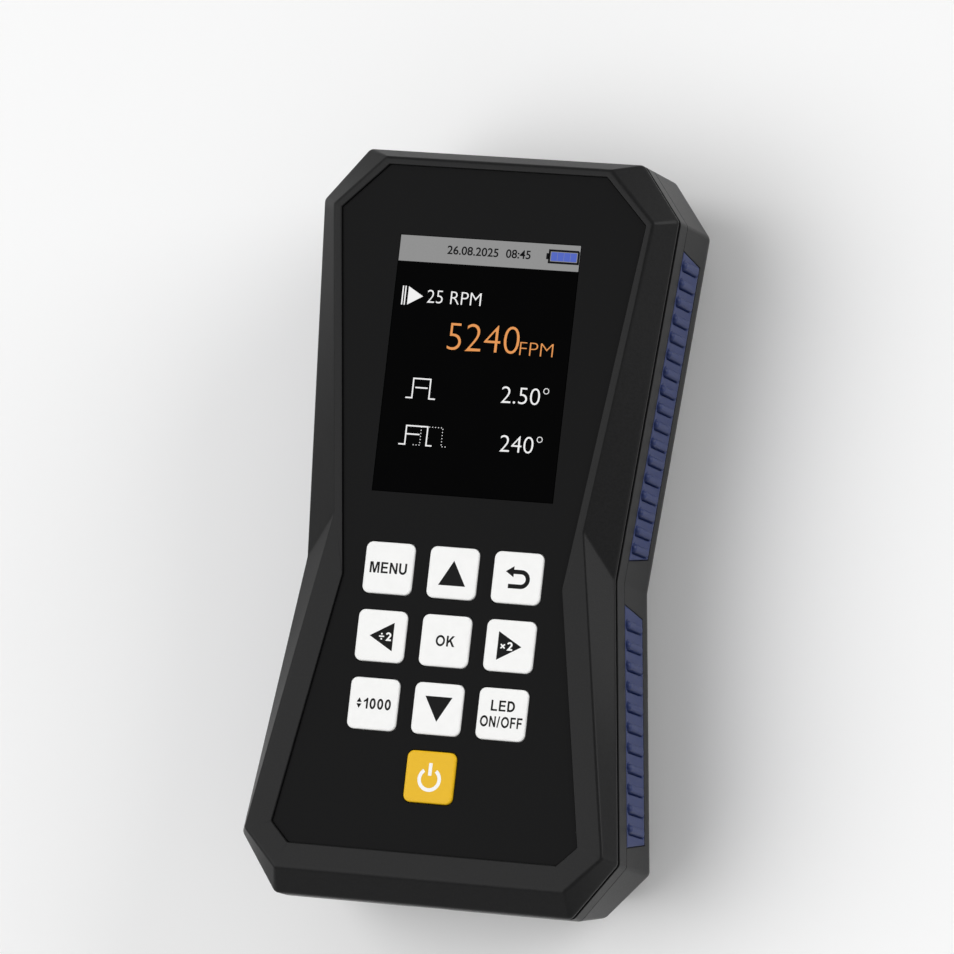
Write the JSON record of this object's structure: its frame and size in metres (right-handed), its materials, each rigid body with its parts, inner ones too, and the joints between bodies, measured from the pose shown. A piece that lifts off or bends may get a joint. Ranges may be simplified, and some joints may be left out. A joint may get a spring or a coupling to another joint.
{
  "type": "led stroboscope",
  "caption": "Handheld stroboscope: a waisted two-part case with ribbed side grips, a colour display, a pad of square keys and a row of lamps in its top end.",
  "frame": {"origin": "under the middle of the case, on the back face that it lies on", "axes": "+X to the right seen from the front, +Y towards the lamp end, +Z out of the front"},
  "size_m": [0.079, 0.15, 0.038],
  "materials": {
    "black_shell": "fine moulded texture",
    "overlay_film": "satin printed film",
    "display_window": "clear, polished",
    "display_glass": "dark, polished",
    "white_diffuser": "milky",
    "inner_plastic": "plain moulded",
    "ribbon_film": "thin film",
    "circuit_board": "solder mask",
    "chip_epoxy": "moulded epoxy",
    "switch_case": "plain moulded",
    "bright_steel": "plated",
    "capacitor_can": "drawn",
    "ferrite": "pressed",
    "ivory_connector": "plain moulded",
    "lead_sheath": "smooth",
    "white_key": "satin",
    "amber_key": "satin",
    "plunger_plastic": "plain moulded",
    "blue_grip": "ribbed",
    "gasket_rubber": "smooth",
    "lens_clear": "clear, polished",
    "lamp_chip": "phosphor",
    "lamp_board": "white solder mask",
    "heat_sink": "extruded",
    "cell_wrap": "shrink sleeve over a cell",
    "foam": "soft foam",
    "brass": "turned"
  },
  "bodies": {
    "case": {"front_shell": "black_shell", "rear_shell": "black_shell", "front_overlay": "overlay_film", "display_window": "display_window", "display_glass": "display_glass", "display_backlight": "white_diffuser", "display_tray": "inner_plastic", "display_ribbon": "ribbon_film", "ribbon_connector": "ivory_connector", "main_board": "circuit_board", "switch_bodies": "switch_case", "processor_chip": "chip_epoxy", "flash_capacitors": "capacitor_can", "boost_coil": "ferrite", "usb_socket": "bright_steel", "battery_connector": "ivory_connector", "lamp_connector": "ivory_connector", "battery_leads": "lead_sheath", "lamp_leads": "lead_sheath", "upper_left_grip": "blue_grip", "upper_right_grip": "blue_grip", "lower_left_grip": "blue_grip", "lower_right_grip": "blue_grip", "lamp_bezel": "inner_plastic", "bezel_gasket": "gasket_rubber", "lamp_lenses": "lens_clear", "lens_cups": "inner_plastic", "lamp_chips": "lamp_chip", "lamp_board": "lamp_board", "lamp_board_screws": "bright_steel", "heat_sink": "heat_sink", "heat_sink_screws": "bright_steel", "battery_cells": "cell_wrap", "battery_tabs": "bright_steel", "battery_guard": "circuit_board", "battery_pad": "foam", "stand_insert": "brass", "case_screws": "bright_steel", "board_screws": "bright_steel"},
    "menu_key": {"menu_key": "white_key", "menu_plunger": "plunger_plastic"},
    "up_key": {"up_key": "white_key", "up_plunger": "plunger_plastic"},
    "back_key": {"back_key": "white_key", "back_plunger": "plunger_plastic"},
    "halve_key": {"halve_key": "white_key", "halve_plunger": "plunger_plastic"},
    "ok_key": {"ok_key": "white_key", "ok_plunger": "plunger_plastic"},
    "double_key": {"double_key": "white_key", "double_plunger": "plunger_plastic"},
    "thousand_key": {"thousand_key": "white_key", "thousand_plunger": "plunger_plastic"},
    "down_key": {"down_key": "white_key", "down_plunger": "plunger_plastic"},
    "lamp_key": {"lamp_key": "white_key", "lamp_plunger": "plunger_plastic"},
    "power_key": {"power_key": "amber_key", "power_plunger": "plunger_plastic"}
  },
  "joints": [
    {"name": "menu_key_press", "type": "slide", "parent": "case", "child": "menu_key", "axis": [0, 0, -1], "range_m": [0, 0.0004], "stiffness_N_per_m": 3000},
    {"name": "up_key_press", "type": "slide", "parent": "case", "child": "up_key", "axis": [0, 0, -1], "range_m": [0, 0.0004], "stiffness_N_per_m": 3000},
    {"name": "back_key_press", "type": "slide", "parent": "case", "child": "back_key", "axis": [0, 0, -1], "range_m": [0, 0.0004], "stiffness_N_per_m": 3000},
    {"name": "halve_key_press", "type": "slide", "parent": "case", "child": "halve_key", "axis": [0, 0, -1], "range_m": [0, 0.0004], "stiffness_N_per_m": 3000},
    {"name": "ok_key_press", "type": "slide", "parent": "case", "child": "ok_key", "axis": [0, 0, -1], "range_m": [0, 0.0004], "stiffness_N_per_m": 3000},
    {"name": "double_key_press", "type": "slide", "parent": "case", "child": "double_key", "axis": [0, 0, -1], "range_m": [0, 0.0004], "stiffness_N_per_m": 3000},
    {"name": "thousand_key_press", "type": "slide", "parent": "case", "child": "thousand_key", "axis": [0, 0, -1], "range_m": [0, 0.0004], "stiffness_N_per_m": 3000},
    {"name": "down_key_press", "type": "slide", "parent": "case", "child": "down_key", "axis": [0, 0, -1], "range_m": [0, 0.0004], "stiffness_N_per_m": 3000},
    {"name": "lamp_key_press", "type": "slide", "parent": "case", "child": "lamp_key", "axis": [0, 0, -1], "range_m": [0, 0.0004], "stiffness_N_per_m": 3000},
    {"name": "power_key_press", "type": "slide", "parent": "case", "child": "power_key", "axis": [0, 0, -1], "range_m": [0, 0.0004], "stiffness_N_per_m": 3000}
  ]
}
